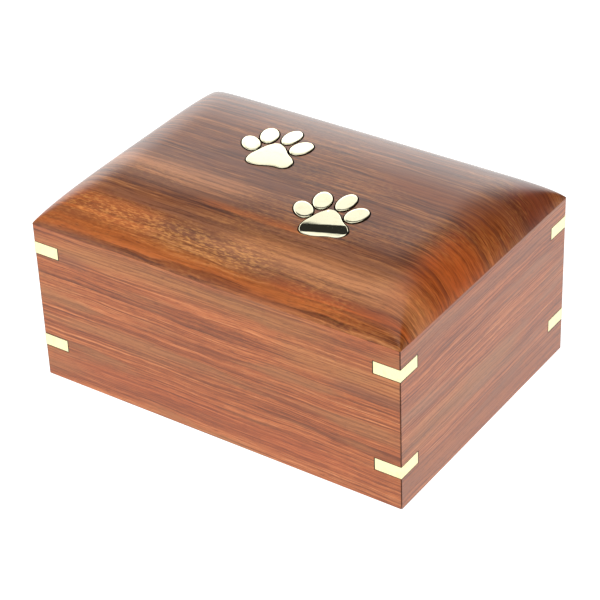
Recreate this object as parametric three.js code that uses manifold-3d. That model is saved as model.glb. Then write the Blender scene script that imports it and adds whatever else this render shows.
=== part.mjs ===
// Pet cremation urn: a mitred rosewood box under a domed top, with brass keys across
// its corners and two brass paw prints let into the top. Millimetres, +Z up. The origin
// is the middle of the underside, +X runs along the length, and -Y is the front.

import * as THREE from 'three';
import { mergeVertices } from 'three/addons/utils/BufferGeometryUtils.js';
import Module from 'manifold-3d';

// The box
const LENGTH = 190;
const WIDTH = 138.6;
const WALL_HEIGHT = 80.5;
const WALL = 12;
const MITRE_EASE = 0.1;

// The domed top: it rises from the walls over a short run at the ends and a long one at
// the front and back. EDGE_ARC is the sine of the angle that the arc has turned through
// at the rim, and HIP_SHARPNESS says how sharply two slopes meet above a corner.
const DOME_RISE = 16.5;
const DOME_RUN_END = 23;
const DOME_RUN_SIDE = 42.5;
const EDGE_ARC = 0.965;
const HIP_SHARPNESS = 2.2;
const RUN_STEPS = 11;
const MIDDLE_STEPS = 3;
const RIM_CROWDING = 1.6;

// The base panel, in a rebate round the foot of the walls
const REBATE_FROM_OUTSIDE = 5;
const PANEL_THICKNESS = 6;
const PANEL_RECESS = 0.5;
const PANEL_GAP = 0.3;

// The screws that hold the panel
const SCREW_HEAD_RADIUS = 2.5;
const SCREW_SHANK_RADIUS = 1.2;
const SCREW_HEAD_HEIGHT = 1.5;
const SCREW_CONE_HEIGHT = 1.2;
const SCREW_SINK = 0.3;
const SCREW_SHANK_END = 12;
const SCREW_TIP = 2;
const SCREW_SLOT_WIDTH = 0.8;
const SCREW_SLOT_DEPTH = 0.6;
const SCREW_FROM_OUTSIDE = 8.8;
const SCREW_X = 60;
const SCREW_TURN = 40;
const SCREW_SIDES = 16;
const SCREW_GAP = 0.2;

// The corner keys
const KEY_LEG = 13;
const KEY_THICKNESS = 5.9;
const KEY_BOTTOMS = { lower: 16.3, upper: 65.4 };
const KEY_GAP = 0.3;

// The paw prints. Each is laid out about the middle of its pad, with u across the paw
// and v towards its toes, and is then turned by PAW_TURN degrees.
const PAW_TURN = 21.5;
const PAWS = {
  left_paw: { x: -19.2, y: 10.1 },
  right_paw: { x: 32.8, y: -25.2 },
};
const PAD_OUTLINE = [
  [-1.3, 11.3], [2.0, 8.9], [5.2, 2.7], [8.3, -2.2], [8.9, -6.2], [6.6, -9.3],
  [-0.1, -8.2], [-7.6, -8.0], [-11.6, -5.9], [-12.2, -2.3], [-8.5, 5.0], [-4.4, 9.9],
];
const TOES = [
  { u: -13.4, v: 10.1, length: 13.3, width: 8.2, lean: 24 },
  { u: -6.7, v: 18.2, length: 14.2, width: 8.4, lean: 4 },
  { u: 3.7, v: 18.0, length: 14.4, width: 7.9, lean: -15 },
  { u: 10.1, v: 8.5, length: 12.9, width: 9.2, lean: -28 },
];
const TOE_POINTS = 20;
const PAD_POINTS = 40;
const INLAY_DEPTH = 2.4;
const INLAY_GAP = 0.3;
// Rings of an inlay's upper side: the share of its outline, and the height over the wood
const INLAY_RINGS = [[1, 0.1], [0.94, 0.45], [0.82, 0.6], [0.45, 0.68]];
const INLAY_CROWN = 0.7;

const WALL_COLOUR = 0xb4765a;
const END_COLOUR = 0xb78870;
const TOP_COLOUR = 0x94532e;
const BASE_COLOUR = 0x8d5a3e;
const BRASS_COLOUR = 0xf0e2a4;
const LACQUER_ROUGHNESS = 0.25;
const BRASS_ROUGHNESS = 0.15;

// How far a cutter runs past the face that it cuts, and how near two vertices are merged
const OVERSHOOT = 1;
const MERGE_DISTANCE = 1e-4;

const wasm = await Module();
wasm.setup();

function solid(geometry) {
  const bare = geometry.clone();
  bare.deleteAttribute('normal');
  bare.deleteAttribute('uv');
  const merged = mergeVertices(bare, MERGE_DISTANCE);
  return new wasm.Manifold(new wasm.Mesh({
    numProp: 3,
    vertProperties: new Float32Array(merged.attributes.position.array),
    triVerts: new Uint32Array(merged.index.array),
  }));
}

function geometryOf(manifold) {
  const { numProp, vertProperties, triVerts } = manifold.getMesh();
  const positions = new Float32Array(vertProperties.length / numProp * 3);
  for (let i = 0; i < positions.length / 3; i += 1) {
    positions.set(vertProperties.subarray(i * numProp, i * numProp + 3), i * 3);
  }
  const geometry = new THREE.BufferGeometry();
  geometry.setAttribute('position', new THREE.BufferAttribute(positions, 3));
  geometry.setIndex(new THREE.BufferAttribute(new Uint32Array(triVerts), 1));
  geometry.computeVertexNormals();
  return geometry;
}

function cut(geometry, cutters) {
  let result = solid(geometry);
  for (const cutter of cutters) {
    result = result.subtract(solid(cutter));
  }
  return geometryOf(result);
}

// A closed outline in plan, given as [x, y] pairs, raised from one height to another
function prism(outline, bottom, top) {
  const shape = new THREE.Shape(outline.map(([x, y]) => new THREE.Vector2(x, y)));
  const geometry = new THREE.ExtrudeGeometry(shape, { depth: top - bottom, bevelEnabled: false });
  return geometry.translate(0, 0, bottom);
}

function block(halfX, halfY, bottom, top) {
  const outline = [[-halfX, -halfY], [halfX, -halfY], [halfX, halfY], [-halfX, halfY]];
  return prism(outline, bottom, top);
}

const urn = new THREE.Group();

function add(name, geometry, colour, roughness, metalness) {
  const material = new THREE.MeshStandardMaterial({ color: colour, roughness, metalness });
  const mesh = new THREE.Mesh(geometry, material);
  mesh.name = name;
  urn.add(mesh);
}

// Walls: four boards, mitred at the corners, with a rebate for the base panel, slots for
// the corner keys and pilot holes for the screws
const panelTop = PANEL_RECESS + PANEL_THICKNESS;
const rebate = block(
  LENGTH / 2 - REBATE_FROM_OUTSIDE, WIDTH / 2 - REBATE_FROM_OUTSIDE, -OVERSHOOT, panelTop,
);

function mitredOutline(length, width, side) {
  const outerHalf = length / 2 - MITRE_EASE;
  const innerHalf = outerHalf - WALL;
  const outer = side * width / 2;
  const inner = side * (width / 2 - WALL);
  return [[-outerHalf, outer], [outerHalf, outer], [innerHalf, inner], [-innerHalf, inner]];
}

// The plan of a key, grown by gap on its long side and by reach past the two outer faces
function keyOutline(sideX, sideY, gap, reach) {
  const leg = KEY_LEG + gap * Math.SQRT2 + 2 * reach;
  const x = LENGTH / 2 + reach;
  const y = WIDTH / 2 + reach;
  return [[x, y], [x - leg, y], [x, y - leg]].map(([a, b]) => [a * sideX, b * sideY]);
}

const corners = [
  { name: 'front_left', x: -1, y: -1 },
  { name: 'front_right', x: 1, y: -1 },
  { name: 'back_right', x: 1, y: 1 },
  { name: 'back_left', x: -1, y: 1 },
];

const keySlots = corners.flatMap((corner) => Object.values(KEY_BOTTOMS).map((bottom) => prism(
  keyOutline(corner.x, corner.y, KEY_GAP, OVERSHOOT),
  bottom - KEY_GAP,
  bottom + KEY_THICKNESS + KEY_GAP,
)));

// A screw, or the hole for one when it is grown by gap: a countersunk head, a plain shank
// and a tip, turned about its axis
function turnedScrew(gap) {
  const head = SCREW_HEAD_RADIUS + gap;
  const shank = SCREW_SHANK_RADIUS + gap;
  const bottom = PANEL_RECESS + (gap > 0 ? -OVERSHOOT : SCREW_SINK);
  const headTop = PANEL_RECESS + SCREW_SINK + SCREW_HEAD_HEIGHT;
  const profile = [
    [0, bottom], [head, bottom], [head, headTop - SCREW_CONE_HEIGHT], [shank, headTop],
    [shank, SCREW_SHANK_END], [0, SCREW_SHANK_END + SCREW_TIP + gap],
  ];
  const points = profile.map(([r, z]) => new THREE.Vector2(r, z));
  return new THREE.LatheGeometry(points, SCREW_SIDES).rotateX(Math.PI / 2);
}

const screwPlaces = corners.map((corner) => ({
  name: corner.name,
  x: corner.x * SCREW_X,
  y: corner.y * (WIDTH / 2 - SCREW_FROM_OUTSIDE),
}));
const screwHoles = screwPlaces.map((place) => turnedScrew(SCREW_GAP).translate(place.x, place.y, 0));

const swapped = (outline) => outline.map(([x, y]) => [y, x]);
const boards = {
  front_board: [mitredOutline(LENGTH, WIDTH, -1), WALL_COLOUR],
  back_board: [mitredOutline(LENGTH, WIDTH, 1), WALL_COLOUR],
  left_end_board: [swapped(mitredOutline(WIDTH, LENGTH, -1)), END_COLOUR],
  right_end_board: [swapped(mitredOutline(WIDTH, LENGTH, 1)), END_COLOUR],
};
for (const [name, [outline, colour]] of Object.entries(boards)) {
  const blank = prism(outline, 0, WALL_HEIGHT);
  const board = cut(blank, [rebate, ...keySlots, ...screwHoles]);
  add(name, board, colour, LACQUER_ROUGHNESS, 0);
}

// Base panel and its screws
const panelBlank = block(
  LENGTH / 2 - REBATE_FROM_OUTSIDE - PANEL_GAP,
  WIDTH / 2 - REBATE_FROM_OUTSIDE - PANEL_GAP,
  PANEL_RECESS,
  panelTop,
);
add('base_panel', cut(panelBlank, screwHoles), BASE_COLOUR, LACQUER_ROUGHNESS, 0);

screwPlaces.forEach((place, k) => {
  const slotTop = PANEL_RECESS + SCREW_SINK + SCREW_SLOT_DEPTH;
  const slot = block(SCREW_HEAD_RADIUS + OVERSHOOT, SCREW_SLOT_WIDTH / 2, -OVERSHOOT, slotTop);
  slot.rotateZ(THREE.MathUtils.degToRad(k * SCREW_TURN));
  const screw = cut(turnedScrew(0), [slot]).translate(place.x, place.y, 0);
  add(`base_screw_${place.name}`, screw, BRASS_COLOUR, BRASS_ROUGHNESS, 1);
});

// Corner keys: triangular plates let in flush with both faces
for (const corner of corners) {
  for (const [level, bottom] of Object.entries(KEY_BOTTOMS)) {
    const key = prism(keyOutline(corner.x, corner.y, 0, 0), bottom, bottom + KEY_THICKNESS);
    add(`corner_key_${corner.name}_${level}`, key, BRASS_COLOUR, BRASS_ROUGHNESS, 1);
  }
}

// The domed surface. Across each edge the height follows a circular arc drawn out into an
// ellipse, and above the corners the lower of the two slopes wins, with a soft hip.
function slope(distance, run) {
  const left = 1 - Math.min(distance / run, 1);
  const floor = Math.sqrt(1 - EDGE_ARC ** 2);
  return (Math.sqrt(1 - (EDGE_ARC * left) ** 2) - floor) / (1 - floor);
}

function domeHeight(x, y) {
  const fromEnd = slope(LENGTH / 2 - Math.abs(x), DOME_RUN_END);
  const fromSide = slope(WIDTH / 2 - Math.abs(y), DOME_RUN_SIDE);
  if (fromEnd <= 0 || fromSide <= 0) {
    return WALL_HEIGHT;
  }
  const blend = fromEnd ** -HIP_SHARPNESS + fromSide ** -HIP_SHARPNESS - 1;
  return WALL_HEIGHT + DOME_RISE * blend ** (-1 / HIP_SHARPNESS);
}

// Places along one side of the top, crowded towards both rims
function stations(length, run) {
  const half = length / 2;
  const rim = [];
  for (let i = 0; i < RUN_STEPS; i += 1) {
    rim.push(half - run * (i / RUN_STEPS) ** RIM_CROWDING);
  }
  const middle = [];
  for (let i = 0; i <= MIDDLE_STEPS; i += 1) {
    middle.push((half - run) * (2 * i / MIDDLE_STEPS - 1));
  }
  return [...rim.map((place) => -place), ...middle, ...rim.reverse()];
}

function domedBoard() {
  const xs = stations(LENGTH, DOME_RUN_END);
  const ys = stations(WIDTH, DOME_RUN_SIDE);
  const columns = xs.length;
  const rows = ys.length;
  const positions = [];
  for (const y of ys) {
    for (const x of xs) {
      positions.push(x, y, domeHeight(x, y));
    }
  }
  const at = (i, j) => j * columns + i;
  const faces = [];
  for (let j = 0; j < rows - 1; j += 1) {
    for (let i = 0; i < columns - 1; i += 1) {
      const [a, b, c, d] = [at(i, j), at(i + 1, j), at(i + 1, j + 1), at(i, j + 1)];
      const alongHip = (xs[i] + xs[i + 1]) * (ys[j] + ys[j + 1]) >= 0;
      faces.push(...(alongHip ? [a, b, c, a, c, d] : [a, b, d, b, c, d]));
    }
  }
  // The flat underside is a fan from its middle to the rim
  const middle = positions.length / 3;
  positions.push(0, 0, WALL_HEIGHT);
  const across = [...xs.keys()];
  const along = [...ys.keys()];
  const rim = [
    ...across.slice(0, -1).map((i) => at(i, 0)),
    ...along.slice(0, -1).map((j) => at(columns - 1, j)),
    ...across.slice(1).reverse().map((i) => at(i, rows - 1)),
    ...along.slice(1).reverse().map((j) => at(0, j)),
  ];
  rim.forEach((vertex, k) => faces.push(middle, rim[(k + 1) % rim.length], vertex));
  const geometry = new THREE.BufferGeometry();
  geometry.setAttribute('position', new THREE.Float32BufferAttribute(positions, 3));
  geometry.setIndex(faces);
  return geometry;
}

// Paw outlines, as anticlockwise [u, v] points
function padOutline() {
  const knots = PAD_OUTLINE.map(([u, v]) => new THREE.Vector3(u, v, 0));
  const curve = new THREE.CatmullRomCurve3(knots, true, 'centripetal');
  return curve.getSpacedPoints(PAD_POINTS).slice(1).map((point) => [point.x, point.y]).reverse();
}

function toeOutline(toe) {
  const lean = THREE.MathUtils.degToRad(toe.lean);
  const outline = [];
  for (let k = 0; k < TOE_POINTS; k += 1) {
    const angle = 2 * Math.PI * k / TOE_POINTS;
    const across = toe.width / 2 * Math.cos(angle);
    const along = toe.length / 2 * Math.sin(angle);
    outline.push([
      toe.u + across * Math.cos(lean) - along * Math.sin(lean),
      toe.v + across * Math.sin(lean) + along * Math.cos(lean),
    ]);
  }
  return outline;
}

// The same outline moved outwards by a distance, for the pocket round an inlay
function grown(outline, distance) {
  const count = outline.length;
  return outline.map(([u, v], k) => {
    const [u0, v0] = outline[(k + count - 1) % count];
    const [u1, v1] = outline[(k + 1) % count];
    const span = Math.hypot(u1 - u0, v1 - v0);
    return [u + distance * (v1 - v0) / span, v - distance * (u1 - u0) / span];
  });
}

function placed(outline, paw) {
  const turn = THREE.MathUtils.degToRad(PAW_TURN);
  return outline.map(([u, v]) => [
    paw.x + u * Math.cos(turn) - v * Math.sin(turn),
    paw.y + u * Math.sin(turn) + v * Math.cos(turn),
  ]);
}

function middleOf(outline) {
  const sum = outline.reduce(([a, b], [x, y]) => [a + x, b + y], [0, 0]);
  return sum.map((total) => total / outline.length);
}

// An inlay: upright sides from a flat bed, and an upper side that follows the dome,
// rounded off at its rim
function inlay(outline, bed) {
  const [cx, cy] = middleOf(outline);
  const count = outline.length;
  const positions = [cx, cy, bed, cx, cy, domeHeight(cx, cy) + INLAY_CROWN];
  outline.forEach(([x, y]) => positions.push(x, y, bed));
  for (const [share, rise] of INLAY_RINGS) {
    for (const [x, y] of outline) {
      const px = cx + share * (x - cx);
      const py = cy + share * (y - cy);
      positions.push(px, py, domeHeight(px, py) + rise);
    }
  }
  const faces = [];
  const at = (ring, k) => 2 + ring * count + k % count;
  for (let k = 0; k < count; k += 1) {
    faces.push(0, at(0, k + 1), at(0, k));
    for (let ring = 0; ring < INLAY_RINGS.length; ring += 1) {
      const [a, b] = [at(ring, k), at(ring, k + 1)];
      const [c, d] = [at(ring + 1, k + 1), at(ring + 1, k)];
      faces.push(a, b, c, a, c, d);
    }
    faces.push(1, at(INLAY_RINGS.length, k), at(INLAY_RINGS.length, k + 1));
  }
  const geometry = new THREE.BufferGeometry();
  geometry.setAttribute('position', new THREE.Float32BufferAttribute(positions, 3));
  geometry.setIndex(faces);
  return geometry;
}

const pockets = [];
for (const [pawName, paw] of Object.entries(PAWS)) {
  const outlines = [
    ['pad', padOutline()],
    ...TOES.map((toe, k) => [`toe_${k + 1}`, toeOutline(toe)]),
  ];
  for (const [pieceName, outline] of outlines) {
    const edge = placed(outline, paw);
    const bed = Math.min(...edge.map(([x, y]) => domeHeight(x, y))) - INLAY_DEPTH;
    add(`${pawName}_${pieceName}`, inlay(edge, bed), BRASS_COLOUR, BRASS_ROUGHNESS, 1);
    const topOfCut = WALL_HEIGHT + DOME_RISE + OVERSHOOT;
    pockets.push(prism(placed(grown(outline, INLAY_GAP), paw), bed, topOfCut));
  }
}
add('domed_top', cut(domedBoard(), pockets), TOP_COLOUR, LACQUER_ROUGHNESS, 0);

export default urn;
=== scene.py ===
import math

import bpy
from mathutils import Matrix, Vector


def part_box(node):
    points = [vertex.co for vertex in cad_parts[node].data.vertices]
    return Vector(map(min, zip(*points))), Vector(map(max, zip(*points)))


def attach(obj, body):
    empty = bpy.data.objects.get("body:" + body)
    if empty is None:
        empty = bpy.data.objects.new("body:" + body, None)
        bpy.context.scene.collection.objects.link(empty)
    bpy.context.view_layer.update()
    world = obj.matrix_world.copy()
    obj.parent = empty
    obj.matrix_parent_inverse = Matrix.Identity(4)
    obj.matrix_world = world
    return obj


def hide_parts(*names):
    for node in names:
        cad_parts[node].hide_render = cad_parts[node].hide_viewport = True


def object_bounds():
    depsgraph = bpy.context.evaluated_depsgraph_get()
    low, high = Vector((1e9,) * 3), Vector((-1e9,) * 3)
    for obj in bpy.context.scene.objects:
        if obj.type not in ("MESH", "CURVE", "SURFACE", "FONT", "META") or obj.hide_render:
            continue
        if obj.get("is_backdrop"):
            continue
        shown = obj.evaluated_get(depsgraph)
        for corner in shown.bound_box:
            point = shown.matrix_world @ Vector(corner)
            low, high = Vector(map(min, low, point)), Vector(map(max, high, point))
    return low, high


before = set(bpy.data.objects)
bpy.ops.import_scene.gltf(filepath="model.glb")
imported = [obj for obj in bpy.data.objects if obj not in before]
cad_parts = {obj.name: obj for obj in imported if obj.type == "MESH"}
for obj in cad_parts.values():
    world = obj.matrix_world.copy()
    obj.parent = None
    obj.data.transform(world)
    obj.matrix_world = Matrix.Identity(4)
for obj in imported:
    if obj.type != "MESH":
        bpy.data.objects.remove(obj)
cad_low, cad_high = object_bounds()


# Walls
# Four boards of straight-grained rosewood, 12 mm thick, mitred at the corners and glued.
# A rebate round their foot takes the base panel, and a saw cut across each corner, low
# and high, takes a brass key. The outside is sanded, its edges are eased and lacquered.

half_length = cad_high.x
half_width = cad_high.y
wall_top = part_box("front_board")[1].z
panel_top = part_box("base_panel")[1].z
rebate_from_outside = 0.005
edge_ease = 0.0003
key_leg = 0.013
key_gap = 0.0003
key_edge_ease = 0.00008
overshoot = 0.001
key_low, key_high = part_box("corner_key_front_left_lower")
key_thickness = key_high.z - key_low.z
key_bottoms = {
    "lower": key_low.z,
    "upper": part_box("corner_key_front_left_upper")[0].z,
}
corners = {
    "front_left": (-1, -1),
    "front_right": (1, -1),
    "back_right": (1, 1),
    "back_left": (-1, 1),
}


def pick(piece):
    """Makes a piece the only one that the next operators act on."""
    bpy.ops.object.select_all(action="DESELECT")
    piece.select_set(True)
    bpy.context.view_layer.objects.active = piece


def block(name, low, high):
    """A cube primitive brought to its two corners, with its place in its mesh."""
    low, high = Vector(low), Vector(high)
    bpy.ops.object.select_all(action="DESELECT")
    bpy.ops.mesh.primitive_cube_add(size=1, location=(low + high) / 2)
    made = bpy.context.object
    made.name = name
    made.scale = high - low
    bpy.ops.object.transform_apply(location=True, rotation=True, scale=True)
    return made


def slice_off(piece, point, outwards):
    """Cuts a piece by a plane, throws away the outer side and closes the cut."""
    pick(piece)
    bpy.ops.object.mode_set(mode="EDIT")
    bpy.ops.mesh.select_all(action="SELECT")
    bpy.ops.mesh.bisect(plane_co=point, plane_no=outwards, use_fill=True, clear_outer=True)
    bpy.ops.object.mode_set(mode="OBJECT")


def ease_edges(piece, chosen, width, segments=3):
    """Rounds over the edges whose two ends both pass the test."""
    pick(piece)
    bpy.ops.object.mode_set(mode="EDIT")
    bpy.ops.mesh.select_mode(type="EDGE")
    bpy.ops.mesh.select_all(action="DESELECT")
    bpy.ops.object.mode_set(mode="OBJECT")
    points = piece.data.vertices
    for edge in piece.data.edges:
        edge.select = all(chosen(points[v].co) for v in edge.vertices)
    bpy.ops.object.mode_set(mode="EDIT")
    bpy.ops.mesh.bevel(offset=width, segments=segments, affect="EDGES")
    bpy.ops.object.mode_set(mode="OBJECT")


def cut_away(piece, cutter):
    """Takes the cutter's shape out of a piece. The cutter stays, for the next piece."""
    pick(piece)
    cut = piece.modifiers.new("cut", "BOOLEAN")
    cut.operation = "DIFFERENCE"
    cut.solver = "EXACT"
    cut.object = cutter
    cut.material_mode = "TRANSFER"
    bpy.ops.object.modifier_apply(modifier=cut.name)


def smooth_over(piece, degrees):
    """Shades a piece smooth except across edges sharper than an angle. Large faces stay flat."""
    pick(piece)
    bpy.ops.object.shade_smooth_by_angle(angle=math.radians(degrees))
    weigh = piece.modifiers.new("weigh", "WEIGHTED_NORMAL")
    weigh.keep_sharp = True
    bpy.ops.object.modifier_apply(modifier=weigh.name)


def key_plate(name, side_x, side_y, bottom, gap, reach):
    """The triangular plate across a corner, grown by gap and past the faces by reach."""
    leg = key_leg + gap * math.sqrt(2) + 2 * reach
    corner = Vector((side_x * (half_length + reach), side_y * (half_width + reach), 0))
    inner = corner - Vector((side_x * leg, side_y * leg, 0))
    low = Vector((min(corner.x, inner.x), min(corner.y, inner.y), bottom - gap))
    high = Vector((max(corner.x, inner.x), max(corner.y, inner.y), bottom + key_thickness + gap))
    plate = block(name, low, high)
    along = corner - Vector((side_x * leg, 0, 0))
    slice_off(plate, along, Vector((-side_x, -side_y, 0)))
    return plate


def shader_node(tree, kind, inputs=None, **settings):
    """Adds a shader node. An input is given as a value or as the socket that feeds it."""
    node = tree.nodes.new(kind)
    for name, value in settings.items():
        setattr(node, name, value)
    for socket, value in (inputs or {}).items():
        if isinstance(value, bpy.types.NodeSocket):
            tree.links.new(value, node.inputs[socket])
        else:
            node.inputs[socket].default_value = value
    return node


def new_material(name):
    """An empty material with its output node, and its node tree."""
    material = bpy.data.materials.new(name)
    material.use_nodes = True
    tree = material.node_tree
    tree.nodes.clear()
    tree.nodes.new("ShaderNodeOutputMaterial")
    return material, tree


def finish_material(tree, shader):
    output = tree.nodes["Material Output"]
    tree.links.new(shader.outputs[0], output.inputs["Surface"])


def dress(piece, material, slot, *nodes):
    """Gives a piece its material and its body, and hides the CAD nodes that it stands for."""
    if piece.data.materials:
        piece.data.materials[0] = material
    else:
        piece.data.materials.append(material)
    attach(piece, "root")
    if nodes:
        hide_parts(*nodes)


def stretched_noise(tree, point, along, across, detail=2.0, roughness=0.5, deep=0.015):
    """Noise drawn out along the grain: its feature sizes are given in metres."""
    drawn = shader_node(tree, "ShaderNodeMapping", {
        "Vector": point, "Scale": (1 / along, 1 / across, 1 / deep),
    })
    noise = shader_node(tree, "ShaderNodeTexNoise", {
        "Vector": drawn.outputs["Vector"],
        "Scale": 1.0, "Detail": detail, "Roughness": roughness,
    })
    return noise.outputs["Fac"]


def ranged(tree, value, low, high, to_low=0.0, to_high=1.0, smooth=False):
    """Maps a stretch of values onto another, clamped at both ends."""
    node = shader_node(tree, "ShaderNodeMapRange", {
        "Value": value, "From Min": low, "From Max": high, "To Min": to_low, "To Max": to_high,
    }, interpolation_type="SMOOTHSTEP" if smooth else "LINEAR")
    return node.outputs["Result"]


def maths(tree, operation, *values):
    node = shader_node(tree, "ShaderNodeMath", dict(enumerate(values)), operation=operation)
    return node.outputs["Value"]


def blend_colour(tree, share, first, second, mode="MIX"):
    node = shader_node(tree, "ShaderNodeMix", data_type="RGBA", blend_type=mode)
    for socket, value in ((0, share), (6, first), (7, second)):
        if isinstance(value, bpy.types.NodeSocket):
            tree.links.new(value, node.inputs[socket])
        else:
            node.inputs[socket].default_value = value
    return node.outputs[2]


def colour_ramp(tree, value, stops):
    """A colour ramp from (place, colour) stops."""
    node = shader_node(tree, "ShaderNodeValToRGB", {"Fac": value})
    ramp = node.color_ramp
    while len(ramp.elements) < len(stops):
        ramp.elements.new(0.5)
    for element, (place, colour) in zip(ramp.elements, stops):
        element.position = place
        element.color = (*colour, 1)
    return node.outputs["Color"]


def streak_mask(tree, along, across, streak):
    """Where one long streak lies: full in its middle and fading to its ends and edges."""
    middle, side, half_reach, half_breadth = streak
    off_middle = maths(tree, "ABSOLUTE", maths(tree, "SUBTRACT", along, middle))
    off_line = maths(tree, "ABSOLUTE", maths(tree, "SUBTRACT", across, side))
    lengthwise = ranged(tree, off_middle, half_reach, half_reach * 0.55, smooth=True)
    crosswise = ranged(tree, off_line, half_breadth, 0, smooth=True)
    return maths(tree, "MULTIPLY", lengthwise, crosswise)


def rosewood(name, lie, shift, tones, tint, grain, fleck, figure, streaks, tip, gloss):
    """Lacquered rosewood: dark growth lines and light fibres along the grain, bands of
    another tint, pores, flecks where the grain interlocks, and a few streaks, a band of painted
    shade and a patch partly of painted sheen among them.
    The grain is the length, breadth and strength of its growth lines, the figure is a place
    full of flecks, and the tip is the half length at which the board's joint darkens."""
    material, tree = new_material(name)
    coordinates = shader_node(tree, "ShaderNodeTexCoord")
    # In the board's own frame X runs along the grain, Y across it and Z into the board
    board = shader_node(tree, "ShaderNodeMapping", {
        "Vector": coordinates.outputs["Object"], "Rotation": [math.radians(angle) for angle in lie],
    }).outputs["Vector"]
    moved = shader_node(
        tree, "ShaderNodeMapping", {"Vector": board, "Location": shift},
    ).outputs["Vector"]

    # The grain wanders a little from side to side
    wander = stretched_noise(tree, moved, 0.085, 0.030, detail=3.0, roughness=0.6)
    wander = ranged(tree, wander, 0, 1, -0.0027, 0.0027)
    offset = shader_node(tree, "ShaderNodeCombineXYZ", {"Y": wander}).outputs["Vector"]
    point = shader_node(
        tree, "ShaderNodeVectorMath", {0: moved, 1: offset}, operation="ADD",
    ).outputs["Vector"]

    # Growth lines and fibres
    reach, breadth, strength = grain
    lines = stretched_noise(tree, point, reach, breadth, detail=4.0, roughness=0.70)
    fibres = stretched_noise(tree, point, 0.008, 0.00050, detail=2.0, roughness=0.6)
    bands = stretched_noise(tree, point, 0.200, 0.0080, detail=1.0)
    tone = maths(tree, "MULTIPLY", lines, 0.56)
    tone = maths(tree, "MULTIPLY_ADD", fibres, 0.26, tone)
    tone = maths(tree, "MULTIPLY_ADD", bands, 0.18, tone)
    colour = colour_ramp(tree, tone, tones)

    # Sparse thin dark lines, each most of a board long
    thin = stretched_noise(tree, point, 0.8 * reach, 0.45 * breadth, detail=0.0)
    thin = ranged(tree, thin, 0.60, 0.72, 0.0, 0.60)
    colour = blend_colour(tree, thin, colour, (*tones[0][1], 1))

    # Bands and clouds of another tint
    cloud = stretched_noise(tree, point, 0.060, 0.0080, detail=2.0)
    cloud = ranged(tree, cloud, 0.50, 0.66, 0.0, 0.75)
    colour = blend_colour(tree, cloud, colour, (*tint, 1))

    # Streaks that stand out on this board. On the end walls one is painted shade, and on the top
    # one is partly painted sheen
    parts = shader_node(tree, "ShaderNodeSeparateXYZ", {"Vector": board})
    along = parts.outputs["X"]
    ragged = ranged(tree, lines, 0.3, 0.7, -0.0014, 0.0014)
    across = maths(tree, "ADD", maths(tree, "ADD", parts.outputs["Y"], wander), ragged)
    for *place, share, streak_colour in streaks:
        mask = streak_mask(tree, along, across, place)
        broken = maths(tree, "MULTIPLY", mask, ranged(tree, lines, 0.30, 0.60, 0.45, 1.0))
        share = maths(tree, "MULTIPLY", broken, share)
        colour = blend_colour(tree, share, colour, (*streak_colour, 1))

    # The growth lines go on through the streaks
    shade = ranged(tree, lines, 0.36, 0.60, 1 - strength, 1 + 0.35 * strength)
    grey = shader_node(
        tree, "ShaderNodeCombineColor", {"Red": shade, "Green": shade, "Blue": shade},
    ).outputs["Color"]
    colour = blend_colour(tree, 1.0, colour, grey, "MULTIPLY")

    # Short light flecks, where the grain interlocks
    flecks = stretched_noise(tree, point, 0.0026, 0.00055, detail=2.0)
    where = stretched_noise(tree, point, 0.050, 0.020, detail=1.0)
    where = maths(tree, "MULTIPLY", ranged(tree, where, 0.42, 0.62), fleck)
    if figure:
        where = maths(tree, "MAXIMUM", where, streak_mask(tree, along, across, figure))
    share = maths(tree, "MULTIPLY", ranged(tree, flecks, 0.46, 0.66), where)
    colour = blend_colour(tree, share, colour, (0.20, 0.10, 0.024, 1), "ADD")

    # Open pores: fine dark dashes
    pores = stretched_noise(tree, point, 0.0040, 0.00030, detail=1.0)
    pore = ranged(tree, pores, 0.60, 0.72)
    share = maths(tree, "MULTIPLY", pore, 0.45)
    colour = blend_colour(tree, share, colour, (0.05, 0.014, 0.006, 1))

    # Glue and lacquer gather dark at the joint
    joint = ranged(tree, maths(tree, "ABSOLUTE", along), tip - 0.0007, tip - 0.0002, 0.0, 0.8)
    colour = blend_colour(tree, joint, colour, (0.040, 0.012, 0.006, 1))

    grain_height = maths(tree, "SUBTRACT", maths(tree, "MULTIPLY", fibres, 0.4), pore)
    grain_bump = shader_node(tree, "ShaderNodeBump", {
        "Height": grain_height, "Strength": 0.3, "Distance": 0.00005,
    })
    ripple = stretched_noise(tree, point, 0.030, 0.012, detail=1.0)
    coat_bump = shader_node(tree, "ShaderNodeBump", {
        "Height": ripple, "Strength": 0.2, "Distance": 0.00015,
    })
    wood = shader_node(tree, "ShaderNodeBsdfPrincipled", {
        "Base Color": colour,
        "Roughness": ranged(tree, fibres, 0.3, 0.7, 0.42, 0.60),
        "Specular IOR Level": 0.05,
        "Coat Weight": 1.0,
        "Coat Roughness": gloss,
        "Coat IOR": 1.38,
        "Normal": grain_bump.outputs["Normal"],
        "Coat Normal": coat_bump.outputs["Normal"],
    })
    finish_material(tree, wood)
    return material


filler, filler_tree = new_material("dark_filler")
filler_mottle = shader_node(filler_tree, "ShaderNodeTexNoise", {
    "Vector": shader_node(filler_tree, "ShaderNodeTexCoord").outputs["Object"],
    "Scale": 900.0, "Detail": 2.0,
}).outputs["Fac"]
filler_paste = shader_node(filler_tree, "ShaderNodeBsdfPrincipled", {
    "Base Color": colour_ramp(filler_tree, filler_mottle, [
        (0.35, (0.010, 0.006, 0.003)), (0.65, (0.035, 0.020, 0.010)),
    ]),
    "Roughness": 0.6,
    "Specular IOR Level": 0.2,
})
finish_material(filler_tree, filler_paste)

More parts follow.
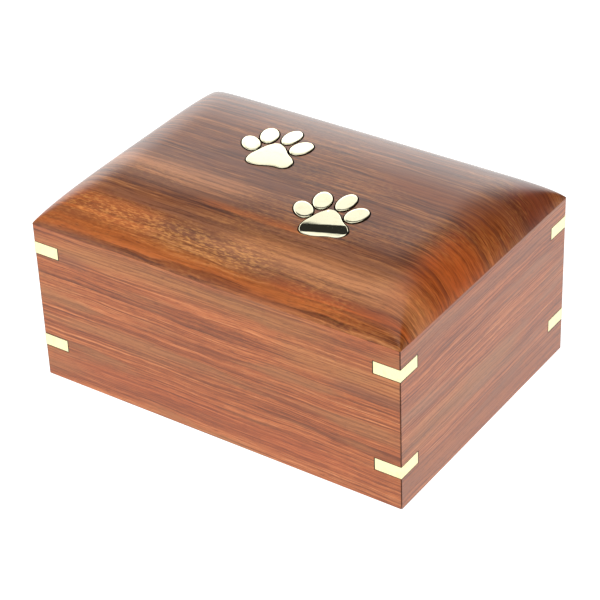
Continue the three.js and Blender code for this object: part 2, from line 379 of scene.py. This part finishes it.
wall_tones = [
    (0.38, (0.125, 0.030, 0.009)),
    (0.45, (0.225, 0.055, 0.015)),
    (0.50, (0.290, 0.074, 0.020)),
    (0.55, (0.355, 0.104, 0.031)),
    (0.63, (0.460, 0.170, 0.062)),
]
olive_tan = (0.270, 0.110, 0.034)
brick_red = (0.330, 0.066, 0.020)
# The colour of the painted shade along the foot of the end walls
painted_contact_shade = (0.200, 0.050, 0.013)
mauve_brown = (0.155, 0.058, 0.030)
dark_heart = (0.060, 0.014, 0.006)
# Each streak: the place of its middle along the grain and across it, its half length and
# half breadth, its share of the colour, and that colour
long_wall_streaks = [
    (-0.010, -0.0740, 0.090, 0.0090, 0.75, olive_tan),
    (0.075, -0.0600, 0.050, 0.0110, 0.60, olive_tan),
    (-0.090, -0.0670, 0.030, 0.0060, 0.70, mauve_brown),
    (0.085, -0.0530, 0.030, 0.0040, 0.65, mauve_brown),
    (-0.010, -0.0110, 0.110, 0.0120, 0.35, brick_red),
    (-0.040, -0.0560, 0.070, 0.0012, 0.60, dark_heart),
    (0.020, -0.0340, 0.060, 0.0014, 0.50, dark_heart),
]
end_wall_streaks = [
    # Painted shade: a dark red band along the foot of each end wall, darkening the wood where the
    # floor close by lies in contact shadow
    (0.000, -0.0080, 0.110, 0.0160, 0.70, painted_contact_shade),
    (0.000, -0.0720, 0.080, 0.0070, 0.60, mauve_brown),
    (-0.020, -0.0300, 0.060, 0.0120, 0.50, olive_tan),
    (-0.030, -0.0500, 0.040, 0.0012, 0.60, dark_heart),
    (0.030, -0.0620, 0.040, 0.0012, 0.50, dark_heart),
]
wall_grain = (0.090, 0.00090, 0.20)
long_wall_wood = rosewood(
    "long_wall_rosewood", lie=(90, 0, 0), shift=(0.31, 0.02, 0.05),
    tones=wall_tones, tint=(0.260, 0.098, 0.034), grain=wall_grain, fleck=0.15, figure=None,
    streaks=long_wall_streaks, tip=half_length, gloss=0.15,
)
end_wall_wood = rosewood(
    "end_wall_rosewood", lie=(90, 90, 0), shift=(0.11, 0.33, 0.07),
    tones=wall_tones, tint=(0.240, 0.092, 0.042), grain=wall_grain, fleck=0.10, figure=None,
    streaks=end_wall_streaks, tip=half_width, gloss=0.15,
)

slot_cutters = [
    key_plate(f"slot_{name}_{level}", x, y, bottom, key_gap, overshoot)
    for name, (x, y) in corners.items()
    for level, bottom in key_bottoms.items()
]
for cutter in slot_cutters:
    cutter.data.materials.append(filler)
rebate = block(
    "rebate",
    (rebate_from_outside - half_length, rebate_from_outside - half_width, -overshoot),
    (half_length - rebate_from_outside, half_width - rebate_from_outside, panel_top),
)
wall_boards = {
    "front_wall": ("front_board", Vector((0, -1, 0)), long_wall_wood),
    "back_wall": ("back_board", Vector((0, 1, 0)), long_wall_wood),
    "left_end_wall": ("left_end_board", Vector((-1, 0, 0)), end_wall_wood),
    "right_end_wall": ("right_end_board", Vector((1, 0, 0)), end_wall_wood),
}
for name, (node, outwards, wood) in wall_boards.items():
    low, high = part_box(node)
    wall = block(name, low, high)
    wall.data.materials.append(wood)
    along = Vector((abs(outwards.y), abs(outwards.x), 0))
    outer_corner = Vector((outwards.x * half_length, outwards.y * half_width, 0))
    for end in (-1, 1):
        tip = outer_corner + along * end * (high - low).dot(along) / 2
        slice_off(wall, tip, along * end - outwards)
    outer = (half_length if outwards.x else half_width) - 1e-5

    def on_outside(point):
        return point.dot(outwards) > outer

    def foot_or_tip(point):
        at_tip = abs(point.dot(along)) > (high - low).dot(along) / 2 - 1e-5
        return on_outside(point) and (point.z < 1e-5 or at_tip)

    ease_edges(wall, foot_or_tip, edge_ease)
    for cutter in [rebate, *slot_cutters]:
        cut_away(wall, cutter)
    smooth_over(wall, 30)
    dress(wall, wood, "rosewood_walls", node)
for cutter in [rebate, *slot_cutters]:
    bpy.data.objects.remove(cutter)


# Domed top
# One thick board of darker, redder rosewood, glued over the walls. Its upper side is
# shaped with a long slope at the front and back and a short one at the ends, and ten
# shallow pockets are routed into it for the brass of the two paw prints.

top_low, top_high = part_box("domed_top")
dome_rise = top_high.z - top_low.z
run_end = 0.0291
run_side = 0.0545
steepness_end = 0.75
steepness_side = 0.92
crown_end = 0.04
crown_side = 0.06
hip_sharpness = 2.2
top_columns = 200
top_rows = 150
rim_crowding = 1.35


def slope(distance, run, half, crown, steepness):
    """The share of the rise: an arc that is steep at the rim, over a slight crown."""
    left = (1 - min(distance / run, 1)) ** 1.5
    floor = math.sqrt(1 - steepness ** 2)
    arc = (math.sqrt(1 - (steepness * left) ** 2) - floor) / (1 - floor)
    return (1 - crown) * arc + crown * (1 - (1 - distance / half) ** 2)


def dome_height(x, y):
    from_end = slope(half_length - abs(x), run_end, half_length, crown_end, steepness_end)
    from_side = slope(half_width - abs(y), run_side, half_width, crown_side, steepness_side)
    if min(from_end, from_side) <= 1e-9:
        return wall_top
    blend = from_end ** -hip_sharpness + from_side ** -hip_sharpness - 1
    return wall_top + dome_rise * blend ** (-1 / hip_sharpness)


def crowded(place):
    """Moves a place between -1 and 1 towards the nearer rim, for a finer rim."""
    return math.copysign(1 - (1 - abs(place)) ** rim_crowding, place)


# A flat grid is doubled, its upper layer is raised to the dome, and the lower layer is
# replaced by one flat face
bpy.ops.object.select_all(action="DESELECT")
bpy.ops.mesh.primitive_grid_add(x_subdivisions=top_columns, y_subdivisions=top_rows, size=2)
domed_top = bpy.context.object
domed_top.name = "domed_lid_board"
bpy.ops.object.mode_set(mode="EDIT")
bpy.ops.mesh.select_all(action="SELECT")
bpy.ops.mesh.extrude_region_move()
bpy.ops.object.mode_set(mode="OBJECT")
for vertex in domed_top.data.vertices:
    x = half_length * crowded(vertex.co.x)
    y = half_width * crowded(vertex.co.y)
    vertex.co = Vector((x, y, dome_height(x, y) if vertex.select else wall_top))
bpy.ops.object.mode_set(mode="EDIT")
bpy.ops.mesh.select_all(action="SELECT")
bpy.ops.mesh.remove_doubles(threshold=1e-7)
bpy.ops.mesh.select_mode(type="FACE")
bpy.ops.mesh.select_all(action="DESELECT")
bpy.ops.object.mode_set(mode="OBJECT")
for face in domed_top.data.polygons:
    face.select = abs(face.center.z - wall_top) < 1e-7
bpy.ops.object.mode_set(mode="EDIT")
bpy.ops.mesh.delete(type="FACE")
bpy.ops.mesh.select_mode(type="EDGE")
bpy.ops.mesh.select_non_manifold()
bpy.ops.mesh.edge_face_add()
bpy.ops.object.mode_set(mode="OBJECT")
if max(domed_top.data.polygons, key=lambda face: face.center.z).normal.z < 0:
    domed_top.data.flip_normals()
underside = min(domed_top.data.polygons, key=lambda face: face.center.z)
if underside.normal.z > 0:
    underside.flip()

top_tones = [
    (0.40, (0.055, 0.012, 0.003)),
    (0.46, (0.118, 0.031, 0.007)),
    (0.50, (0.165, 0.047, 0.011)),
    (0.54, (0.210, 0.068, 0.016)),
    (0.60, (0.290, 0.110, 0.034)),
]
orange_sap = (0.300, 0.073, 0.013)
red_sap = (0.310, 0.058, 0.009)
red_brown = (0.165, 0.039, 0.008)
dark_red = (0.120, 0.022, 0.008)
# Light tan wood, which on the front right hip of the top also carries part of the painted sheen
light_tan = (0.360, 0.142, 0.055)
top_streaks = [
    # Partly wood and partly painted sheen: a light tan patch on the front right hip of the top,
    # standing in for part of the soft highlight there
    (0.056, -0.0505, 0.075, 0.0130, 0.90, light_tan),
    (-0.060, -0.0225, 0.060, 0.0150, 0.90, light_tan),
    (0.068, 0.0180, 0.045, 0.0160, 0.85, red_brown),
    (-0.080, -0.0560, 0.055, 0.0160, 0.90, orange_sap),
    (-0.010, -0.0655, 0.110, 0.0050, 0.80, orange_sap),
    (0.097, -0.0200, 0.024, 0.0500, 0.85, red_sap),
    (0.096, 0.0450, 0.021, 0.0340, 0.95, dark_red),
    (-0.035, -0.0465, 0.050, 0.0050, 0.75, mauve_brown),
    (0.040, -0.0400, 0.055, 0.0055, 0.75, mauve_brown),
    (0.000, -0.0350, 0.032, 0.0030, 0.90, orange_sap),
    (0.070, -0.0620, 0.050, 0.0035, 0.65, red_sap),
    (-0.035, -0.0312, 0.055, 0.0026, 0.50, dark_heart),
    (0.015, -0.0440, 0.035, 0.0018, 0.50, dark_heart),
    (-0.020, -0.0672, 0.070, 0.0011, 0.60, dark_heart),
    (0.055, -0.0300, 0.030, 0.0050, 0.45, dark_heart),
    (0.060, -0.0130, 0.030, 0.0014, 0.55, dark_heart),
    (0.090, 0.0020, 0.024, 0.0024, 0.75, dark_heart),
    (0.086, 0.0160, 0.020, 0.0016, 0.60, dark_heart),
    (0.090, 0.0360, 0.024, 0.0050, 0.60, dark_heart),
    (0.093, -0.0300, 0.016, 0.0014, 0.60, dark_heart),
]
no_joint = 1.0
top_wood = rosewood(
    "domed_top_rosewood", lie=(0, 0, 0), shift=(0.77, 0.06, 0.02),
    tones=top_tones, tint=(0.140, 0.046, 0.020), grain=(0.055, 0.00150, 0.15), fleck=0.35,
    figure=(-0.030, -0.0560, 0.075, 0.0110), streaks=top_streaks, tip=no_joint, gloss=0.26,
)
domed_top.data.materials.append(top_wood)


# Paw prints
# Each print is a pad and four toes of polished brass, let into the domed top in pockets of
# their own. The pieces follow the dome and stand a little proud, rounded at the rim, and a
# fine dark line of filler shows round each.

paw_turn = math.radians(21.5)
paw_places = {"left_paw": (-0.0192, 0.0101), "right_paw": (0.0328, -0.0252)}
pad_knots = [
    (-0.0013, 0.0113), (0.0020, 0.0089), (0.0052, 0.0027), (0.0083, -0.0022),
    (0.0089, -0.0062), (0.0066, -0.0093), (-0.0001, -0.0082), (-0.0076, -0.0080),
    (-0.0116, -0.0059), (-0.0122, -0.0023), (-0.0085, 0.0050), (-0.0044, 0.0099),
]
# Each toe: where its middle is, its length and width, and its lean in degrees
toes = [
    (-0.0134, 0.0101, 0.0133, 0.0082, 24),
    (-0.0067, 0.0182, 0.0142, 0.0084, 4),
    (0.0037, 0.0180, 0.0144, 0.0079, -15),
    (0.0101, 0.0085, 0.0129, 0.0092, -28),
]
toe_vertices = 72
pad_resolution = 12
filler_width = 0.0006
inlay_depth = 0.0024
inlay_proud = 0.0005
rim_radius = 0.00035
rim_steps = [0.00003, 0.00005, 0.00007, 0.00009, 0.00011]
middle_shares = [0.8, 0.55, 0.3]
# The near side of the right pad is worn: two knots of its outline lie further in, and its
# top falls away in two facets, given by where each begins, its fall and its turn in degrees
worn_knots = {4: (0.0088, -0.0054), 5: (0.0066, -0.0080)}
worn_facets = [(-0.0008, 0.050, 4), (-0.0063, 0.125, 0)]
facet_blend = 0.00015


def toe_outline(name, toe):
    """A filled ring of vertices in the shape of one toe, flat and in the paw's own place."""
    u, v, length, width, lean = toe
    bpy.ops.object.select_all(action="DESELECT")
    bpy.ops.mesh.primitive_circle_add(vertices=toe_vertices, radius=1, fill_type="NGON")
    made = bpy.context.object
    made.name = name
    made.scale = (width / 2, length / 2, 1)
    made.rotation_euler.z = math.radians(lean)
    made.location = (u, v, 0)
    bpy.ops.object.transform_apply(location=True, rotation=True, scale=True)
    return made


def pad_outline(name, moved_knots):
    """The pad's outline: a smooth closed curve through its knots, made a filled mesh."""
    knots = [moved_knots.get(k, knot) for k, knot in enumerate(pad_knots)]
    bpy.ops.object.select_all(action="DESELECT")
    bpy.ops.curve.primitive_bezier_circle_add(radius=1)
    made = bpy.context.object
    made.name = name
    spline = made.data.splines[0]
    spline.bezier_points.add(len(knots) - len(spline.bezier_points))
    for point, (u, v) in zip(spline.bezier_points, knots):
        point.co = (u, v, 0)
        point.handle_left_type = point.handle_right_type = "AUTO"
    made.data.resolution_u = pad_resolution
    bpy.ops.object.convert(target="MESH")
    made = bpy.context.object
    bpy.ops.object.mode_set(mode="EDIT")
    bpy.ops.mesh.select_all(action="SELECT")
    bpy.ops.mesh.remove_doubles(threshold=1e-6)
    bpy.ops.mesh.edge_face_add()
    bpy.ops.object.mode_set(mode="OBJECT")
    return made


def set_in_place(outline, place):
    """Turns an outline from the paw's own place to its place on the top."""
    turned = Matrix.Translation((*place, 0)) @ Matrix.Rotation(paw_turn, 4, "Z")
    outline.data.transform(turned)


def face_up(outline):
    if outline.data.polygons[0].normal.z < 0:
        outline.data.flip_normals()


def middle_of(outline):
    points = [vertex.co for vertex in outline.data.vertices]
    return sum(points, Vector()) / len(points)


def pocket_cutter(outline, bed):
    """The routed pocket round an inlay: its outline, grown by the gap, as a tall prism."""
    cutter = outline.copy()
    cutter.data = outline.data.copy()
    cutter.name = f"{outline.name}_pocket"
    bpy.context.scene.collection.objects.link(cutter)
    loop = list(cutter.data.polygons[0].vertices)
    points = [outline.data.vertices[v].co for v in loop]
    for k, vertex in enumerate(loop):
        run = points[(k + 1) % len(points)] - points[k - 1]
        sideways = Vector((run.y, -run.x, 0)).normalized()
        cutter.data.vertices[vertex].co = points[k] + sideways * filler_width + Vector((0, 0, bed))
    pick(cutter)
    bpy.ops.object.mode_set(mode="EDIT")
    bpy.ops.mesh.select_all(action="SELECT")
    rise = top_high.z + overshoot - bed
    bpy.ops.mesh.extrude_region_move(TRANSFORM_OT_translate={"value": (0, 0, rise)})
    bpy.ops.mesh.select_all(action="SELECT")
    bpy.ops.mesh.normals_make_consistent(inside=False)
    bpy.ops.object.mode_set(mode="OBJECT")
    return cutter


def rim_height(distance):
    """How high an inlay's upper side stands over the wood, this far in from its edge."""
    left = max(rim_radius - distance, 0)
    return inlay_proud - rim_radius + math.sqrt(rim_radius ** 2 - left ** 2)


def cushion_up(outline, bed, place, facets):
    """Raises the flat outline into a brass piece: upright sides, and a rounded upper side."""
    centre = middle_of(outline)
    rim = [vertex.co.copy() for vertex in outline.data.vertices]
    pick(outline)
    bpy.ops.object.mode_set(mode="EDIT")
    bpy.ops.mesh.select_mode(type="FACE")
    bpy.ops.mesh.select_all(action="SELECT")
    bpy.ops.mesh.extrude_region_move(TRANSFORM_OT_translate={"value": (0, 0, inlay_depth)})
    for step in rim_steps:
        bpy.ops.mesh.inset(thickness=step)
    for inner, outer in zip(middle_shares, [1, *middle_shares]):
        bpy.ops.mesh.extrude_region_move()
        bpy.ops.transform.resize(value=(inner / outer, inner / outer, 1), center_override=centre)
    bpy.ops.mesh.poke()
    paw_middle = Vector((*place, 0))
    slopes = [
        (Matrix.Rotation(paw_turn + math.radians(turn), 3, "Z") @ Vector((0, 1, 0)), start, fall)
        for start, fall, turn in facets
    ]
    for upwards, start, fall in slopes:
        for side in (-facet_blend, facet_blend):
            bpy.ops.mesh.select_all(action="SELECT")
            bpy.ops.mesh.bisect(plane_co=paw_middle + upwards * (start + side), plane_no=upwards)
    bpy.ops.mesh.select_all(action="SELECT")
    bpy.ops.mesh.normals_make_consistent(inside=False)
    bpy.ops.object.mode_set(mode="OBJECT")
    for vertex in outline.data.vertices:
        flat = Vector((vertex.co.x, vertex.co.y, 0))
        distance = min((flat - point).length for point in rim)
        upper = vertex.co.z > inlay_depth / 2
        height = dome_height(flat.x, flat.y) + rim_height(distance)
        for upwards, start, fall in slopes:
            height -= fall * max(start - (flat - paw_middle).dot(upwards), 0)
        vertex.co.z = height if upper else bed


def brass(name, colour, dull, roughness, scratch):
    """Lacquered brass: fine sanding marks that vary its gloss, and a little tarnish that dulls its
    colour.
    """
    material, tree = new_material(name)
    coordinates = shader_node(tree, "ShaderNodeTexCoord")
    point = coordinates.outputs["Object"]
    marks = stretched_noise(tree, point, 0.0060, 0.00022, detail=2.0)
    stain = shader_node(tree, "ShaderNodeTexNoise", {
        "Vector": point, "Scale": 260.0, "Detail": 3.0, "Roughness": 0.6,
    }).outputs["Fac"]
    shade = blend_colour(tree, ranged(tree, stain, 0.50, 0.78, 0.0, 0.65), (*colour, 1), (*dull, 1))
    height = maths(tree, "MULTIPLY_ADD", marks, 0.5, maths(tree, "MULTIPLY", stain, 0.8))
    bump = shader_node(tree, "ShaderNodeBump", {
        "Height": height, "Strength": scratch, "Distance": 0.00005,
    })
    metal = shader_node(tree, "ShaderNodeBsdfPrincipled", {
        "Base Color": shade,
        "Metallic": 1.0,
        "Roughness": ranged(tree, marks, 0.3, 0.7, roughness * 0.7, roughness * 1.4),
        "Normal": bump.outputs["Normal"],
    })
    finish_material(tree, metal)
    return material


paw_brass = brass(
    "paw_brass", colour=(0.93, 0.89, 0.64), dull=(0.86, 0.78, 0.50), roughness=0.05, scratch=0.08,
)
# Pockets that touch are cut in different rounds
pocket_rounds = {"pads": [], "odd toes": [], "even toes": []}
for paw_name, place in paw_places.items():
    worn = paw_name == "right_paw"
    outlines = [pad_outline(f"{paw_name}_pad_inlay", worn_knots if worn else {})]
    outlines += [toe_outline(f"{paw_name}_toe_{k + 1}_inlay", toe) for k, toe in enumerate(toes)]
    for outline, cut_round in zip(outlines, ["pads", *["odd toes", "even toes"] * 2]):
        set_in_place(outline, place)
        face_up(outline)
        bed = min(dome_height(v.co.x, v.co.y) for v in outline.data.vertices) - inlay_depth
        pocket_rounds[cut_round].append(pocket_cutter(outline, bed))
        cushion_up(outline, bed, place, worn_facets if worn and cut_round == "pads" else [])
        smooth_over(outline, 50)
        dress(outline, paw_brass, "paw_brass", outline.name.removesuffix("_inlay"))
for pockets in pocket_rounds.values():
    bpy.ops.object.select_all(action="DESELECT")
    for pocket in pockets:
        pocket.data.materials.append(filler)
        pocket.select_set(True)
    bpy.context.view_layer.objects.active = pockets[0]
    bpy.ops.object.join()
    joined = bpy.context.object
    cut_away(domed_top, joined)
    bpy.data.objects.remove(joined)
smooth_over(domed_top, 25)
dress(domed_top, top_wood, "rosewood_top", "domed_top")


# Corner keys
# Triangular plates of quarter inch brass bar, let into the saw cuts across the corners
# and sanded flush with both faces, so that each shows as a chevron.

key_brass = brass(
    "key_brass", colour=(0.93, 0.86, 0.50), dull=(0.85, 0.73, 0.38), roughness=0.20, scratch=0.15,
)
for corner_name, (x, y) in corners.items():
    for level, bottom in key_bottoms.items():
        key = key_plate(f"key_{corner_name}_{level}", x, y, bottom, 0, 0)
        ease_edges(key, lambda point: True, key_edge_ease, segments=2)
        smooth_over(key, 30)
        dress(key, key_brass, "key_brass", f"corner_key_{corner_name}_{level}")


# Base panel and screws
# A thinner rosewood panel closes the box from below, in the rebate, held by four
# countersunk brass screws. It comes off to fill the urn.

base_wood = rosewood(
    "base_rosewood", lie=(0, 0, 0), shift=(1.21, 0.30, 0.04),
    tones=wall_tones, tint=(0.20, 0.075, 0.034), grain=(0.090, 0.00150, 0.20), fleck=0.10,
    figure=None, streaks=[], tip=no_joint, gloss=0.30,
)
screw_brass = brass(
    "screw_brass", colour=(0.80, 0.66, 0.36), dull=(0.52, 0.38, 0.18), roughness=0.28, scratch=0.3,
)
for node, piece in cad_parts.items():
    if node == "base_panel":
        piece.data.materials.clear()
        piece.data.materials.append(base_wood)
    if node.startswith("base_screw"):
        piece.data.materials.clear()
        piece.data.materials.append(screw_brass)


# Floor, light and camera
# A plain white floor that glows like a light table, under soft studio light: a bright
# sweep behind and in front to the left, a dark room above it, and a soft box overhead.

bpy.ops.object.select_all(action="DESELECT")
bpy.ops.mesh.primitive_plane_add(size=12, location=(0, 0, 0))
floor = bpy.context.object
floor.name = "studio_floor"
floor_paint, floor_tree = new_material("floor_white")
paint = shader_node(floor_tree, "ShaderNodeBsdfPrincipled", {
    "Base Color": (0.15, 0.15, 0.15, 1), "Roughness": 0.9, "Specular IOR Level": 0.1,
    "Emission Color": (1, 1, 1, 1), "Emission Strength": 1.15,
})
finish_material(floor_tree, paint)
floor.data.materials.append(floor_paint)
floor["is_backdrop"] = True

world = bpy.data.worlds.new("studio")
bpy.context.scene.world = world
world.use_nodes = True
sky = world.node_tree
sky.nodes.clear()
direction = shader_node(sky, "ShaderNodeTexCoord").outputs["Generated"]
height = shader_node(sky, "ShaderNodeSeparateXYZ", {"Vector": direction}).outputs["Z"]
horizontal = shader_node(
    sky, "ShaderNodeVectorMath", {0: direction, 1: (1, 1, 0)}, operation="MULTIPLY",
).outputs["Vector"]
horizontal = shader_node(
    sky, "ShaderNodeVectorMath", {0: horizontal}, operation="NORMALIZE",
).outputs["Vector"]
backdrop_strength = 2.6
front_sweep_strength = 1.5
soft_box_strength = 1.4
room_glow = 0.014


def sine(degrees):
    return math.sin(math.radians(degrees))


def sky_side(compass, inner, outer):
    """The part of the sky round a compass bearing: full to the inner angle, none past the outer."""
    bearing = (sine(compass), sine(90 - compass), 0)
    facing = shader_node(
        sky, "ShaderNodeVectorMath", {0: horizontal, 1: bearing}, operation="DOT_PRODUCT",
    ).outputs["Value"]
    return ranged(sky, facing, sine(90 - outer), sine(90 - inner), smooth=True)


# The backdrop is brightest at 20 to 25 degrees up, and past 36 degrees the room is dark
backdrop_light = colour_ramp(sky, height, [
    (sine(0), (0.66, 0.66, 0.66)), (sine(12), (0.80, 0.80, 0.80)),
    (sine(20), (1.0, 1.0, 1.0)), (sine(25), (0.95, 0.95, 0.95)),
    (sine(30), (0.44, 0.44, 0.44)), (sine(35.8), (0.40, 0.40, 0.40)),
    (sine(36.8), (0.005, 0.005, 0.005)),
])
backdrop = maths(sky, "MULTIPLY", backdrop_light, sky_side(-50, 38, 66))
backdrop = maths(sky, "MULTIPLY", backdrop, backdrop_strength)
front_sweep = ranged(sky, height, sine(31), sine(24), 0.0, front_sweep_strength, smooth=True)
front_sweep = maths(sky, "MULTIPLY", front_sweep, sky_side(-150, 40, 65))
soft_box = ranged(sky, height, sine(50), sine(62), 0.0, soft_box_strength, smooth=True)
brightness = maths(sky, "MAXIMUM", maths(sky, "MAXIMUM", backdrop, front_sweep), soft_box)
brightness = maths(sky, "ADD", brightness, room_glow)
glow = shader_node(sky, "ShaderNodeBackground", {"Color": (1, 1, 1, 1), "Strength": brightness})
sky_output = sky.nodes.new("ShaderNodeOutputWorld")
sky.links.new(glow.outputs["Background"], sky_output.inputs["Surface"])


def soft_light(name, compass, lift, distance, size, watts):
    """A large lamp that lights the wood but does not show in its gloss."""
    bpy.ops.object.light_add(type="AREA")
    light = bpy.context.object
    light.name = name
    light.data.size = size
    light.data.energy = watts
    out = sine(90 - lift)
    spot = Vector((sine(compass) * out, sine(90 - compass) * out, sine(lift)))
    light.location = spot * distance
    light.rotation_mode = "QUATERNION"
    light.rotation_quaternion = spot.to_track_quat("Z", "Y")
    light.visible_camera = False
    light.visible_glossy = False


soft_light("front_left_lamp", compass=-150, lift=35, distance=1.6, size=0.9, watts=15)
soft_light("right_lamp", compass=110, lift=25, distance=1.6, size=0.9, watts=22)

camera_turn = 35.33
camera_height = 33.58
camera_roll = -2.36
camera_distance = 0.9643
aim = Vector((0.01124, -0.01836, 0.0475))
turn, lift = math.radians(camera_turn), math.radians(camera_height)
back = Vector((math.sin(turn) * math.cos(lift), -math.cos(turn) * math.cos(lift), math.sin(lift)))
camera_data = bpy.data.cameras.new("camera")
camera_data.sensor_width = 36
camera_data.lens = 131.64
camera = bpy.data.objects.new("camera", camera_data)
bpy.context.scene.collection.objects.link(camera)
camera.location = aim + back * camera_distance
camera.rotation_mode = "QUATERNION"
upright = (-back).to_track_quat("-Z", "Y")
roll = Matrix.Rotation(math.radians(camera_roll), 4, back).to_quaternion()
camera.rotation_quaternion = roll @ upright
bpy.context.scene.camera = camera
bpy.context.scene.view_settings.view_transform = "Standard"

low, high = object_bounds()
